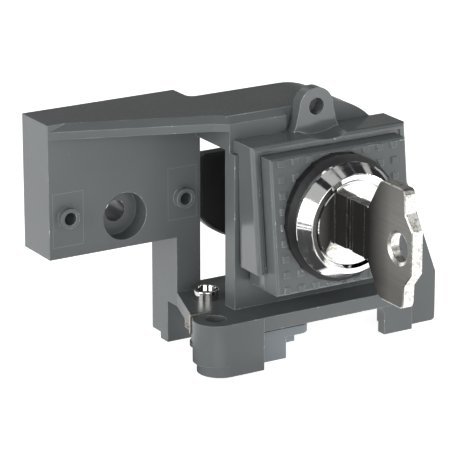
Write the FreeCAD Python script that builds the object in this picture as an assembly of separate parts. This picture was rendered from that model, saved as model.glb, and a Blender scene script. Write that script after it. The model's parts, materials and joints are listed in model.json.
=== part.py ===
import FreeCAD, Part
import math
import os

os.makedirs("parts", exist_ok=True)

# Key lock adaptor for a circuit breaker.  Millimetres, X to the right, Y to the rear and Z up,
# as seen by someone who faces the key.  The model is laid out about the lock: its axis is the
# line X = 0, Z = 0, and Y = 0 is the middle of the face plate's front.

Vector = FreeCAD.Vector
X_AXIS = Vector(1, 0, 0)
Y_AXIS = Vector(0, 1, 0)
Z_AXIS = Vector(0, 0, 1)

# ---------------------------------------------------------------- clearances
running_gap = 0.05          # radial, shaft in its bore
seat_gap = 0.1              # between moulded pieces that seat in each other
free_gap = 0.3              # between pieces that move past each other

# ---------------------------------------------------------------- moulded frame
frame_half_width = 17.3     # lock axis to either side of the housing
roof_top = 19.0             # lock axis up to the roof
roof_thick = 2.8
roof_bevel = 1.3
roof_bend_radius = 1.6      # hollow corner where the arm's back meets the housing's back
front_wall_y = 9.4
front_wall_thick = 3.5
wall_step = 3.0             # front of the wall back to the front of the dome
pillar_width = 2.6          # thin left end of the front wall
riser_y = 11.2              # roof's front edge over the lock block
riser_length = 12.4
riser_round = 1.6
dome_radius = 20.7
crown_round = 16.0          # eases the flat roof into the dome
housing_depth = 16.6        # riser to the housing's back
shell_wall = 2.2
skirt_drop = 6.6            # roof down to the lower edge of the left skirt
floor_drop = 18.35          # lock axis down to the floor
floor_thick = 2.8
floor_front_y = 2.7
foot_high = 10.45           # floor down to the underside of the feet
ear_width = 11.6            # housing's side out to the ear's lower edge
ear_shoulder_drop = 18.6    # lock axis down to where the ear's edge turns vertical
ear_corner = 0.8            # rounding of the ear's lower corner
foot_width = 6.5
foot_front_y = 7.2
foot_inset = 1.8            # foot's left side, in from the housing's side
foot_free = 3.2             # part of the foot that stands free of the ear, to its left
bar_fillet = 4.0            # hollow corner between the floor bar and the foot

# ---------------------------------------------------------------- arm and post
arm_length = 32.6
arm_height = 26.2
arm_front_y = 23.7
arm_depth = 10.2
arm_wall = 2.2
arm_end_inset = 0.9         # arm's right end, in from the housing's side
lip_corner_out = 2.5        # roof lip's corner, out from the housing's side
lip_corner_back = 1.9       # roof lip's corner, behind the riser
post_width = 5.25
post_depth = 9.7
post_toe_back = 3.7         # lower front face behind the upper one
post_extra = 0.9            # post's toe below the feet
post_heel_high = 1.3        # post's rear part above its toe
post_heel_depth = 3.2
screw_hole_radius = 2.1
screw_head_radius = 4.65
screw_head_depth = 4.0
screw_from_left = 16.1
screw_from_bottom = 6.15
pilot_radius = 1.25
pilot_boss_radius = 1.95
pilot_boss_proud = 1.4
pilot_post_radius = 2.9     # hollow column behind each pilot hole
pilot_spacing = 24.85
pilot_from_left = 3.8
pilot_from_bottom = 7.95

# ---------------------------------------------------------------- screw boss at the front left
boss_out = 5.6              # boss axis, out from the housing's side
boss_y = 7.0
boss_radius = 4.4
boss_hole_radius = 1.95
boss_block_width = 8.05     # from the boss axis to the block's right side
boss_toe_high = 2.2         # lowest part of the boss, whose round end is set in
boss_toe_inset = 0.9

# ---------------------------------------------------------------- lock block and face plate
rake = 6.5                  # degrees that the plate's top leans back
block_centre_x = 0.65       # block and plate sit a little to the right of the lock
block_side_gap = 0.1        # half the block's width, short of half the housing's
block_top = 14.6
block_wall_bottom = -9.6
block_top_thick = 2.4
plate_proud = 3.1
plate_sunk = 1.6            # depth of the pocket that the plate sits in
rim_width = 2.1
rim_round = 0.7
cove_width = 0.8            # shallow cove round the plate, in from the rim
cove_deep = 0.4
plate_top = 12.7
plate_bottom = -13.1
plate_edge = 0.35
cube_side = 1.25            # raised squares on the plate
cube_pitch_x = 3.15
cube_pitch_z = 3.0
cube_centre_x = 0.25        # middle column, to the right of the lock axis
cube_high = 0.3
cube_root = 0.5             # how far a square reaches into the plate
cube_rows = 9
block_undercut = 0.8        # block's back stands this far off the wall at its lower end
lug_x = 0.8
lug_y = 9.6
lug_thick = 2.5
lug_hole_z = 19.0
lug_hole_radius = 1.65
lug_radius = 3.7
lug_foot_half = 5.2
lug_foot_high = 1.0
lug_foot_slope = 0.7
groove_half = 4.0
groove_deep = 0.8

# ---------------------------------------------------------------- cylinder lock
barrel_radius = 9.0
barrel_back_y = 25.8
barrel_back_edge = 0.5
thread_pitch = 1.0
thread_deep = 0.35
thread_front_y = 10.0
bezel_radius = 11.25
bezel_cone_y = -2.7
bezel_front_y = -5.46
bezel_front_radius = 9.63
bezel_bore_radius = 8.65
bezel_bore_y = -2.4
bezel_round = 0.25
gasket_radius = 12.15
gasket_lean = 3.0           # degrees that the gasket's front leans back
gasket_mean_thick = 1.1
gasket_tabs = 17
gasket_tab_radius = 0.8
gasket_tab_proud = 0.15
washer_thick = 0.9
washer_radius = 12.3
nut_thick = 3.2
nut_across_flats = 23.0
nut_corner_round = 1.2      # turned off the nut's rear corners
plug_head_radius = 8.2
plug_head_edge = 0.3
plug_face_y = -5.2
plug_wall = 2.5             # barrel round the plug
clip_thick = 0.8
clip_proud = 1.1            # clip's rim, outside the plug
clip_groove_deep = 1.1
clip_mouth = 0.8            # half the clip's mouth, as a part of the groove's radius
plug_tail = 1.9             # plug's length behind the barrel
spindle_radius = 4.4
spindle_wall = 1.44         # plug's groove round the spindle's square corners
spindle_socket = 5.0

# ---------------------------------------------------------------- disc at the back
disc_front_y = 33.0
disc_thick = 3.0
disc_radius = 13.2
disc_flat_z = 5.2
disc_side_x = 10.9          # flat on either side
disc_corner = 1.7
disc_edge = 0.4
disc_screw_radius = 1.5
disc_screw_length = 9.0
disc_screw_head_radius = 2.8
disc_screw_head_high = 2.0
disc_screw_round = 0.4      # the next four are parts of the head's height or radius
cross_deep = 0.6
cross_half_long = 0.6
cross_half_wide = 0.16
disc_washer_radius = 4.6
disc_washer_thick = 0.8

# ---------------------------------------------------------------- key and wafers
key_thick = 2.5
key_hole_y = -21.3
key_hole_radius = 2.75
key_hole_ring_radius = 3.4
key_hole_ring_deep = 0.35
key_edge = 0.2
bow_outline = (             # upper half, (behind the hole, up from the lock axis)
    (6.7, 10.4),
    (6.2, 11.0),
    (5.2, 11.4),
    (-1.0, 11.4),
    (-1.6, 11.1),
    (-1.9, 10.4),
    (-2.1, 6.9),
    (-4.4, 4.1),
)
shank_half_height = 5.2
shank_front_y = -11.3
shank_step = 0.12           # each step in the shank's sides
shank_steps_y = (-10.2, -6.2)
blade_thick = 1.9
blade_half_height = 3.5
blade_length = 22.0
blade_cut = 0.7
blade_shallow_cut = 0.55    # a shallow cut, as a part of a deep one
blade_cut_half_floor = 0.3  # half the flat floor of a cut
blade_cut_half_mouth = 0.9
blade_point_length = 2.2
blade_point_half = 1.0
wafer_count = 6
wafer_pitch = 2.4
wafer_first_y = 1.0
wafer_thick = 0.8
wafer_half_width = 2.6
wafer_travel = 0.6
wafer_gap = 0.08
spring_wire = 0.22
spring_radius = 0.5
spring_pocket_radius = 0.75
spring_length = 2.6
spring_turns = 4
ear_thick = 0.8             # side ear of a wafer, along Z
ear_root = 0.5              # how far the side ear reaches into its wafer

# ---------------------------------------------------------------- rivet, spring and latch lever
rivet_out = 1.2             # rivet axis, out from the housing's side
rivet_y = 18.0
rivet_radius = 1.5
rivet_head_radius = 2.4
rivet_head_high = 2.0
rivet_cup_radius = 1.9
rivet_cup_deep = 0.6
rivet_rim_round = 0.3
rivet_clip_wider = 0.3      # clip's rim outside the lever's hub
rivet_drop = 6.75           # this and the lever's heights go down from the floor's underside
lever_hub_radius = 2.9
lever_hub_drop = 5.75
lever_arm_thick = 1.7
lever_arm_half = 1.7        # half the arm's width
lever_plate_drop = 0.85
lever_front_y = 4.2
lever_depth = 5.0
lever_left_in = 2.8         # lever plate's left end, in from the housing's side
lever_plate_length = 11.3
lever_tab_width = 5.0
lever_tab_in = 0.5          # tab's left side, in from the plate's end
lever_tab_drop = 6.85
lever_small_tab_drop = 3.95
lever_small_tab_width = 2.2
lever_small_tab_back = 0.6  # small tab's front, behind the large one's
lever_elbow_right = 0.3     # arm's end, past the tab's width and the plate's back
lever_elbow_back = 0.2
coil_radius = 3.9
coil_wire = 0.5
coil_turns = 4
coil_pitch = 0.55
hook_y = 10.0               # where the spring's leg goes over the floor's edge
hook_length = 4.5
peg_ahead = 4.4             # peg for the spring's lower leg, ahead of the rivet
peg_radius = 0.45
peg_high = 1.8

# ---------------------------------------------------------------- places that follow from the above
roof_under = roof_top - roof_thick
floor_top = -floor_drop
floor_under = floor_top - floor_thick
foot_bottom = floor_top - foot_high
housing_back_y = riser_y + housing_depth
front_wall_back_y = front_wall_y + front_wall_thick
dome_front_y = front_wall_y + wall_step
wall_back_y = dome_front_y + shell_wall
arm_right = -frame_half_width + arm_end_inset
arm_left = arm_right - arm_length
arm_bottom = roof_top - arm_height
arm_back_y = arm_front_y + arm_depth
post_left = arm_right - post_width
screw_x = arm_left + screw_from_left
screw_z = arm_bottom + screw_from_bottom
pilot_xs = (arm_left + pilot_from_left, arm_left + pilot_from_left + pilot_spacing)
pilot_z = arm_bottom + pilot_from_bottom
boss_x = -frame_half_width - boss_out
boss_block_right = boss_x + boss_block_width
ear_right = frame_half_width + ear_width
foot_left = frame_half_width - foot_inset
foot_right = foot_left + foot_width
shelf_seat_z = block_top - block_top_thick - seat_gap
block_half_width = frame_half_width - block_side_gap
plate_half_width = block_half_width - rim_width
lean = math.tan(math.radians(rake))
barrel_hole_radius = barrel_radius + seat_gap
plug_radius = barrel_radius - plug_wall
plug_bore_radius = plug_radius + running_gap
clip_radius = plug_radius + clip_proud
clip_groove_radius = plug_radius - clip_groove_deep
spindle_square = (clip_groove_radius - spindle_wall) * math.sqrt(2)
rivet_x = -frame_half_width - rivet_out
rivet_end = floor_under - rivet_drop
lever_hub_bottom = floor_under - lever_hub_drop
lever_plate_top = floor_under - lever_plate_drop
lever_tab_bottom = floor_under - lever_tab_drop
lever_small_tab_bottom = floor_under - lever_small_tab_drop
lever_left = -frame_half_width + lever_left_in
lever_right = lever_left + lever_plate_length
tail_end_y = barrel_back_y + plug_tail
boss_left = boss_x - boss_radius
post_bottom = foot_bottom - post_extra
blade_tip_y = plug_face_y + blade_length
gasket_slope = math.tan(math.radians(gasket_lean))
coil_top_z = floor_under - seat_gap - coil_wire / 2
edge_run = (arm_front_y - hook_y) / (arm_front_y - boss_y)
hook_x = post_left + (boss_left - post_left) * edge_run - coil_wire / 2 - seat_gap
peg_x = rivet_x + coil_radius - coil_wire / 2 - peg_radius - running_gap
peg_y = rivet_y - peg_ahead
reach_front = 40.0          # ahead of everything, for solids that a leaning plane trims
overlap = 0.5               # how far moulded parts of one piece reach into each other

# The part's own origin: the arm's screw hole, in the plane of the arm's back.
part_origin = Vector(screw_x, arm_back_y, screw_z)


# ---------------------------------------------------------------- helpers
def box(x0, x1, y0, y1, z0, z1):
    return Part.makeBox(x1 - x0, y1 - y0, z1 - z0, Vector(x0, y0, z0))


def rod_y(x, z, radius, y0, y1):
    return Part.makeCylinder(radius, y1 - y0, Vector(x, y0, z), Y_AXIS)


def rod_z(x, y, radius, z0, z1):
    return Part.makeCylinder(radius, z1 - z0, Vector(x, y, z0), Z_AXIS)


def prism_y(outline, y0, y1):
    """Solid along Y from an outline of (x, z) points."""
    points = [Vector(x, y0, z) for x, z in outline]
    face = Part.Face(Part.makePolygon(points + points[:1]))
    return face.extrude(Vector(0, y1 - y0, 0))


def prism_z(outline, z0, z1):
    """Solid along Z from an outline of (x, y) points."""
    points = [Vector(x, y, z0) for x, y in outline]
    face = Part.Face(Part.makePolygon(points + points[:1]))
    return face.extrude(Vector(0, 0, z1 - z0))


def prism_x(outline, x0, x1):
    """Solid along X from an outline of (y, z) points."""
    points = [Vector(x0, y, z) for y, z in outline]
    face = Part.Face(Part.makePolygon(points + points[:1]))
    return face.extrude(Vector(x1 - x0, 0, 0))


def turned_y(profile):
    """Solid turned about the lock axis from (radius, y) points."""
    points = [Vector(radius, y, 0) for radius, y in profile]
    face = Part.Face(Part.makePolygon(points + points[:1]))
    return face.revolve(Vector(0, 0, 0), Y_AXIS, 360)


def leaning_y(z, at_axis, slope):
    """Y of a plane that leans back by slope and crosses the lock axis at at_axis."""
    return at_axis + slope * z


def behind_plane(at_axis, slope, reach=60.0):
    """Everything behind a leaning plane, as a solid to cut with."""
    outline = [
        (leaning_y(-reach, at_axis, slope), -reach),
        (leaning_y(reach, at_axis, slope), reach),
        (reach + at_axis + slope * reach, reach),
        (reach + at_axis + slope * reach, -reach),
    ]
    return prism_x(outline, -reach, reach)


def edges_like(shape, test):
    """Edges whose two ends and middle all pass the test."""
    found = []
    for edge in shape.Edges:
        middle = edge.valueAt((edge.FirstParameter + edge.LastParameter) / 2)
        spots = [vertex.Point for vertex in edge.Vertexes] + [middle]
        if all(test(spot) for spot in spots):
            found.append(edge)
    return found


def near(value, target):
    return abs(value - target) < 0.001


def runs_along_y(edge):
    start, end = [vertex.Point for vertex in edge.Vertexes]
    return near(start.x, end.x) and near(start.z, end.z)


def joined(first, *others):
    return first.multiFuse(list(others)).removeSplitter()


def write(name, shape):
    moved = shape.copy()
    moved.translate(-part_origin)
    moved.exportStep("parts/" + name + ".step")


# ---------------------------------------------------------------- frame
def housing_outline(inset):
    """Housing in the XZ plane: flat roof, dome, slanted right side down to the ear."""
    radius = dome_radius - inset
    top = roof_top - inset
    flat_end = math.sqrt(radius ** 2 - top ** 2)
    shoulder = Vector(ear_right - inset, 0, -ear_shoulder_drop)
    reach = math.hypot(shoulder.x, shoulder.z)
    tangent = math.atan2(shoulder.z, shoulder.x) + math.acos(radius / reach)
    middle = (math.atan2(top, flat_end) + tangent) / 2
    arc = Part.Arc(
        Vector(flat_end, 0, top),
        Vector(radius * math.cos(middle), 0, radius * math.sin(middle)),
        Vector(radius * math.cos(tangent), 0, radius * math.sin(tangent)),
    ).toShape()
    return arc, shoulder


def housing_body(inset, left, bottom, y0, y1):
    """Solid of the housing's outline between two Y planes."""
    arc, shoulder = housing_outline(inset)
    start = arc.Vertexes[0].Point
    end = arc.Vertexes[1].Point
    points = [
        end,
        shoulder,
        Vector(shoulder.x, 0, bottom),
        Vector(left, 0, bottom),
        Vector(left, 0, start.z),
        start,
    ]
    outline = Part.Wire([arc] + Part.makePolygon(points).Edges)
    solid = Part.Face(outline).extrude(Vector(0, y1 - y0, 0))
    solid.translate(Vector(0, y0, 0))
    crown = edges_like(solid, lambda point: near(point.x, start.x) and near(point.z, start.z))
    return solid.makeFillet(crown_round - inset, crown)


def roof_plate():
    """Roof over arm and housing, with the slanting lip from the arm's corner to the front."""
    outline = [
        (arm_left, arm_front_y),
        (-frame_half_width - lip_corner_out, riser_y + lip_corner_back),
        (-frame_half_width, riser_y),
        (-frame_half_width + riser_length, riser_y),
        (-frame_half_width + riser_length, housing_back_y),
        (arm_right, housing_back_y),
        (arm_right, arm_back_y),
        (arm_left, arm_back_y),
    ]
    plate = prism_z(outline, roof_under, roof_top)

    def on_lip(point):
        return near(point.z, roof_top) and point.y < arm_front_y + 0.01

    lip = [edge for edge in edges_like(plate, on_lip) if not runs_along_y(edge)]
    return plate.makeChamfer(roof_bevel, lip)


def housing_shell():
    """Dome, right side and ear, open to the left, to the rear and below."""
    outer = housing_body(0, -frame_half_width, foot_bottom, front_wall_y, housing_back_y)
    corner = edges_like(outer, lambda point: near(point.x, ear_right) and near(point.z, foot_bottom))
    outer = outer.makeFillet(ear_corner, corner)
    over_shelf = box(
        -frame_half_width - 1,
        ear_right + 1,
        front_wall_y - 1,
        dome_front_y,
        shelf_seat_z,
        roof_top + 1 + dome_radius,
    )
    inner = housing_body(
        shell_wall,
        -frame_half_width - 1,
        foot_bottom - 1,
        wall_back_y,
        housing_back_y + 1,
    )
    under_front = box(
        -frame_half_width - 1,
        foot_left + foot_free,
        front_wall_y - 1,
        wall_back_y + 1,
        foot_bottom - 1,
        floor_under,
    )
    beside_pillar = box(
        -frame_half_width - 1,
        -frame_half_width + pillar_width,
        front_wall_back_y,
        wall_back_y + 1,
        floor_under,
        roof_top - skirt_drop,
    )
    return outer.cut([over_shelf, inner, under_front, beside_pillar])


def front_wall():
    """Wall that the lock is clamped to, lower where the lock block's shelf lies on it."""
    low = box(
        -frame_half_width,
        frame_half_width - shell_wall,
        front_wall_y,
        front_wall_back_y,
        floor_under,
        shelf_seat_z,
    )
    high = box(
        -frame_half_width,
        -frame_half_width + riser_length,
        riser_y + seat_gap,
        front_wall_back_y,
        floor_under,
        roof_under + overlap,
    )
    return low.fuse(high)


def riser():
    """Upright front edge of the roof over the lock block, with a rounded lower end."""
    right = -frame_half_width + riser_length
    face = box(-frame_half_width, right, riser_y, front_wall_back_y, block_top, roof_under + overlap)
    corner = edges_like(face, lambda point: near(point.x, right) and near(point.z, block_top))
    return face.makeFillet(riser_round, corner)


def skirt():
    return box(
        -frame_half_width,
        -frame_half_width + shell_wall,
        front_wall_back_y - overlap,
        arm_front_y + overlap,
        roof_top - skirt_drop,
        roof_under + overlap,
    )


def floor_plate():
    outline = [
        (post_left, arm_front_y + overlap),
        (post_left, arm_front_y),
        (boss_left, boss_y),
        (boss_x, floor_front_y),
        (foot_left, floor_front_y),
        (foot_left, foot_front_y),
        (foot_right, foot_front_y),
        (foot_right, front_wall_y + overlap),
        (ear_right - shell_wall, front_wall_y + overlap),
        (ear_right - shell_wall, housing_back_y),
        (arm_right, housing_back_y),
    ]
    return prism_z(outline, floor_under, floor_top)


def right_foot():
    """Foot ahead of the ear, with a hollow corner up to the floor bar."""
    back = front_wall_y
    block = box(foot_left, foot_right, foot_front_y, back, foot_bottom, floor_top)
    behind = box(foot_left + foot_free, foot_right, back, wall_back_y, foot_bottom, floor_top)
    web = box(
        foot_left - bar_fillet,
        foot_left,
        foot_front_y,
        back,
        floor_under - bar_fillet,
        floor_under,
    )
    hollow = rod_y(
        foot_left - bar_fillet,
        floor_under - bar_fillet,
        bar_fillet,
        foot_front_y - 1,
        back + 1,
    )
    return block.multiFuse([behind, web.cut(hollow)])


def front_boss():
    """Screw boss with a flat front, whose round end is set in at the bottom."""
    toe_top = foot_bottom + boss_toe_high
    front = boss_y - boss_radius
    back = boss_y + boss_radius
    toe_x = boss_x + boss_toe_inset
    return joined(
        rod_z(boss_x, boss_y, boss_radius, toe_top, floor_top),
        box(boss_x, boss_block_right, front, back, toe_top, floor_top),
        rod_z(toe_x, boss_y, boss_radius, foot_bottom, toe_top + overlap),
        box(toe_x, boss_block_right, front, back, foot_bottom, toe_top + overlap),
    )


def hollow_arm():
    """Arm with its face to the front, open at the back round the screw and pilot columns."""
    body = box(arm_left, arm_right, arm_front_y, arm_back_y, arm_bottom, roof_top)
    pocket = box(
        arm_left + arm_wall,
        arm_right - arm_wall,
        arm_front_y + arm_wall,
        arm_back_y + 1,
        arm_bottom + arm_wall,
        roof_under,
    )
    columns = [rod_y(screw_x, screw_z, screw_head_radius + arm_wall, arm_front_y, arm_back_y)]
    for x in pilot_xs:
        columns.append(rod_y(x, pilot_z, pilot_post_radius, arm_front_y, arm_back_y))
    solid = body.cut(pocket).multiFuse(columns)
    solid = solid.common(box(arm_left, arm_right, arm_front_y, arm_back_y, arm_bottom, roof_top))
    rings = [
        rod_y(x, pilot_z, pilot_boss_radius, arm_front_y - pilot_boss_proud, arm_front_y + 1)
        for x in pilot_xs
    ]
    return solid.multiFuse(rings)


def post():
    """Upright under the arm's right end, with its lower front set back and a raised heel."""
    back = arm_front_y + post_depth
    body = box(post_left, arm_right, arm_front_y, back, post_bottom, arm_bottom + overlap)
    toe = box(
        post_left - 1,
        arm_right + 1,
        arm_front_y - 1,
        arm_front_y + post_toe_back,
        post_bottom - 1,
        floor_under,
    )
    heel = box(
        post_left - 1,
        arm_right + 1,
        back - post_heel_depth,
        back + 1,
        post_bottom - 1,
        post_bottom + post_heel_high,
    )
    return body.cut([toe, heel])


def frame_body():
    body = joined(
        hollow_arm(),
        roof_plate(),
        housing_shell(),
        front_wall(),
        riser(),
        skirt(),
        floor_plate(),
        right_foot(),
        front_boss(),
        post(),
    )
    cuts = [
        rod_y(screw_x, screw_z, screw_hole_radius, arm_front_y - 1, arm_back_y + 1),
        rod_y(screw_x, screw_z, screw_head_radius, arm_front_y - 1, arm_front_y + screw_head_depth),
        rod_y(0, 0, barrel_hole_radius, 0, wall_back_y + 1),
        rod_z(boss_x, boss_y, boss_hole_radius, foot_bottom - 1, floor_top + 1),
        rod_z(rivet_x, rivet_y, rivet_radius + seat_gap, floor_under - 1, floor_top + 1),
    ]
    for x in pilot_xs:
        cuts.append(rod_y(x, pilot_z, pilot_radius, arm_front_y - 5, arm_back_y + 1))
    for cut in cuts:
        body = body.cut(cut)
    back_corner = edges_like(
        body,
        lambda point: near(point.x, arm_right) and near(point.y, housing_back_y) and point.z > roof_under - 1,
    )
    return body.makeFillet(roof_bend_radius, back_corner).removeSplitter()


# ---------------------------------------------------------------- lock block and face plate
def raked(depth, half_width, bottom, top):
    """Solid from the plane that lies depth behind the plate's front, back to the wall."""
    left = block_centre_x - half_width
    right = block_centre_x + half_width
    block = box(left, right, -reach_front, front_wall_y - seat_gap, bottom, top)
    return block.common(behind_plane(depth, lean))


def lug():
    """Ear with a hole for a seal, on a foot that spreads to both sides."""
    back = lug_y + lug_thick
    eye = rod_y(lug_x, lug_hole_z, lug_radius, lug_y, back)
    outline = [
        (lug_x - lug_foot_half, block_top - overlap),
        (lug_x + lug_foot_half, block_top - overlap),
        (lug_x + lug_foot_half - lug_foot_slope, block_top + lug_foot_high),
        (lug_x + lug_radius, lug_hole_z),
        (lug_x - lug_radius, lug_hole_z),
        (lug_x - lug_foot_half + lug_foot_slope, block_top + lug_foot_high),
    ]
    return eye.fuse(prism_y(outline, lug_y, back))


def lock_block():
    """Raked block round the lock, with a rim, a pocket for the plate and a shelf on the wall."""
    body = raked(plate_proud, block_half_width, block_wall_bottom, block_top)

    def on_rim(point):
        ahead = point.y < front_wall_y - 1
        at_side = near(abs(point.x - block_centre_x), block_half_width)
        return ahead and (at_side or near(point.z, block_top))

    body = body.makeFillet(rim_round, edges_like(body, on_rim))
    hanger = raked(plate_proud + plate_sunk, plate_half_width, plate_bottom, block_wall_bottom + 1)
    shelf_left = box(
        block_centre_x - block_half_width,
        block_centre_x + block_half_width,
        front_wall_y - 1,
        riser_y,
        block_top - block_top_thick,
        block_top,
    )
    shelf_right = box(
        -frame_half_width + riser_length + free_gap,
        block_centre_x + block_half_width,
        front_wall_y - 1,
        dome_front_y - seat_gap,
        block_top - block_top_thick,
        block_top,
    )
    body = joined(body, hanger, shelf_left, shelf_right, lug())
    pocket = raked(-1, plate_half_width + seat_gap, plate_bottom - 1, plate_top + seat_gap)
    pocket = pocket.cut(behind_plane(plate_proud + plate_sunk, lean))
    cove = raked(-1, plate_half_width + cove_width, plate_bottom - 1, plate_top + cove_width)
    cove = cove.cut(behind_plane(plate_proud + cove_deep, lean))
    groove_radius = (groove_half ** 2 + groove_deep ** 2) / (2 * groove_deep)
    set_back = front_wall_y - seat_gap - block_undercut
    undercut = prism_x(
        [
            (front_wall_y, plate_bottom - 1),
            (front_wall_y, block_wall_bottom),
            (front_wall_y - seat_gap, block_top - block_top_thick - 1),
            (set_back, block_wall_bottom),
            (set_back, plate_bottom - 1),
        ],
        block_centre_x - block_half_width - 1,
        block_centre_x + block_half_width + 1,
    )
    return body.cut([
        pocket,
        cove,
        undercut,
        rod_y(lug_x, block_top - groove_deep + groove_radius, groove_radius, -reach_front, lug_y),
        rod_y(lug_x, lug_hole_z, lug_hole_radius, lug_y - 1, lug_y + lug_thick + 1),
        rod_y(0, 0, barrel_hole_radius, -reach_front, front_wall_y + 1),
    ]).removeSplitter()


def face_plate():
    """Raked plate with rows of small raised squares, clear of the lock's gasket."""
    body = raked(0, plate_half_width, plate_bottom, plate_top)
    body = body.cut(behind_plane(plate_proud + plate_sunk, lean))

    def on_front(point):
        return point.y < leaning_y(point.z, 0.01, lean)

    body = body.makeChamfer(plate_edge, edges_like(body, on_front))
    squares = []
    middle_z = (plate_top + plate_bottom) / 2
    offset = (cube_rows - 1) / 2
    half = cube_side / 2
    for row in range(cube_rows):
        z = middle_z + (row - offset) * cube_pitch_z
        for column in range(cube_rows):
            x = cube_centre_x + (column - offset) * cube_pitch_x
            if math.hypot(x, z) > gasket_radius:
                square = raked(-cube_high, plate_half_width, z - half, z + half)
                footprint = box(x - half, x + half, -reach_front, front_wall_y, z - half, z + half)
                square = square.common(footprint)
                squares.append(square.cut(behind_plane(cube_root, lean)))
    keep_clear = gasket_radius + gasket_tab_proud + free_gap
    under_gasket = rod_y(0, 0, keep_clear, -reach_front, front_wall_y).cut(behind_plane(0, lean))
    body = body.multiFuse([square.cut(under_gasket) for square in squares])
    return body.cut(rod_y(0, 0, barrel_hole_radius, -reach_front, front_wall_y)).removeSplitter()


# ---------------------------------------------------------------- cylinder lock
def lock_gasket():
    """Wedge-shaped rubber ring that takes up the plate's rake, with short tabs on its edge."""
    ring = rod_y(0, 0, gasket_radius, -reach_front, front_wall_y)
    tabs = []
    for count in range(gasket_tabs):
        angle = 2 * math.pi * (count + 0.5) / gasket_tabs
        x = (gasket_radius - gasket_tab_radius + gasket_tab_proud) * math.cos(angle)
        z = (gasket_radius - gasket_tab_radius + gasket_tab_proud) * math.sin(angle)
        tabs.append(rod_y(x, z, gasket_tab_radius, -reach_front, front_wall_y))
    ring = ring.multiFuse(tabs)
    ring = ring.common(behind_plane(-gasket_mean_thick, gasket_slope))
    ring = ring.cut(behind_plane(0, lean))
    return ring.cut(rod_y(0, 0, barrel_hole_radius, -reach_front, front_wall_y)).removeSplitter()


def lock_barrel():
    """Plated lock body: cone-faced head, threaded shank, plug bore and wafer grooves."""
    head = turned_y([
        (0, front_wall_y),
        (bezel_radius, front_wall_y),
        (bezel_radius, bezel_cone_y),
        (bezel_front_radius, bezel_front_y),
        (0, bezel_front_y),
    ])
    rims = [edge for edge in head.Edges if edge.BoundBox.YLength < 0.01 and edge.Vertexes[0].Y < 0]
    head = head.makeFillet(bezel_round, rims)
    head = head.cut(behind_plane(-gasket_mean_thick, gasket_slope))
    threads = int((barrel_back_y - thread_front_y) / thread_pitch) - 1
    profile = [(0, bezel_cone_y), (barrel_radius, bezel_cone_y)]
    for count in range(threads):
        y = thread_front_y + count * thread_pitch
        profile.append((barrel_radius, y))
        profile.append((barrel_radius - thread_deep, y + thread_pitch / 2))
    profile.append((barrel_radius, thread_front_y + threads * thread_pitch))
    profile.append((barrel_radius, barrel_back_y - barrel_back_edge))
    profile.append((barrel_radius - barrel_back_edge, barrel_back_y))
    profile.append((0, barrel_back_y))
    body = head.fuse(turned_y(profile))
    deep = plug_bore_radius + wafer_travel + wafer_gap * 2
    half = wafer_half_width + wafer_gap * 2
    front = wafer_first_y - free_gap
    back = wafer_first_y + wafer_count * wafer_pitch
    return body.cut([
        rod_y(0, 0, bezel_bore_radius, bezel_front_y - 1, bezel_bore_y),
        rod_y(0, 0, plug_bore_radius, bezel_front_y - 1, barrel_back_y + 1),
        box(-half, half, front, back, -deep, deep),
        box(-deep, deep, front, back, -half, half),
    ]).removeSplitter()


def lock_washer():
    front = wall_back_y
    ring = rod_y(0, 0, washer_radius, front, front + washer_thick)
    return ring.cut(rod_y(0, 0, barrel_hole_radius, front - 1, front + washer_thick + 1))


def lock_nut():
    front = wall_back_y + washer_thick
    corner = nut_across_flats / math.sqrt(3)
    outline = []
    for count in range(6):
        angle = math.radians(60 * count)
        outline.append((corner * math.cos(angle), corner * math.sin(angle)))
    body = prism_y(outline, front, front + nut_thick)
    rounding = turned_y([
        (0, front - 1),
        (corner + 1, front - 1),
        (corner + 1, front + nut_thick - nut_corner_round),
        (corner - nut_corner_round, front + nut_thick),
        (0, front + nut_thick),
    ])
    body = body.common(rounding)
    return body.cut(rod_y(0, 0, barrel_radius + running_gap, front - 1, front + nut_thick + 1))


def plug():
    """Turning core of the lock, with the keyway, the wafer slots and a square socket behind."""
    clip_y = barrel_back_y + seat_gap
    body = turned_y([
        (0, plug_face_y),
        (plug_head_radius - plug_head_edge, plug_face_y),
        (plug_head_radius, plug_face_y + plug_head_edge),
        (plug_head_radius, bezel_bore_y - seat_gap),
        (plug_radius, bezel_bore_y - seat_gap),
        (plug_radius, clip_y),
        (clip_groove_radius, clip_y),
        (clip_groove_radius, clip_y + clip_thick),
        (plug_radius, clip_y + clip_thick),
        (plug_radius, tail_end_y),
        (0, tail_end_y),
    ])
    half_thick = blade_thick / 2 + wafer_gap
    half_high = blade_half_height + wafer_gap
    socket = spindle_square / 2 + running_gap
    cuts = [
        box(-half_thick, half_thick, plug_face_y - 1, blade_tip_y + 1, -half_high, half_high),
        box(-socket, socket, tail_end_y - spindle_socket - seat_gap, tail_end_y + 1, -socket, socket),
    ]
    for count in range(wafer_count):
        y = wafer_first_y + count * wafer_pitch
        side = 1 if count % 2 == 0 else -1
        cuts.append(box(
            -wafer_half_width - wafer_gap,
            wafer_half_width + wafer_gap,
            y - wafer_gap,
            y + wafer_thick + wafer_gap,
            -plug_radius,
            plug_radius,
        ))
        cuts.append(wafer_ear(y, side, wafer_gap, wafer_travel))
        cuts.append(spring_column(y, side, spring_pocket_radius, wafer_gap))
    return body.cut(cuts).removeSplitter()


def wafer_ear(y, side, gap, travel):
    """Side ear that the wafer's spring pushes on; side is 1 for upper wafers and -1 for lower."""
    inner = wafer_half_width - ear_root
    outer = wafer_half_width + 2 * spring_pocket_radius
    low = spring_length / 2 - gap
    high = spring_length / 2 + ear_thick + travel + gap
    xs = sorted((side * inner, side * (outer + gap)))
    zs = sorted((side * low, side * high))
    return box(xs[0], xs[1], y - gap, y + wafer_thick + gap, zs[0], zs[1])


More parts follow.
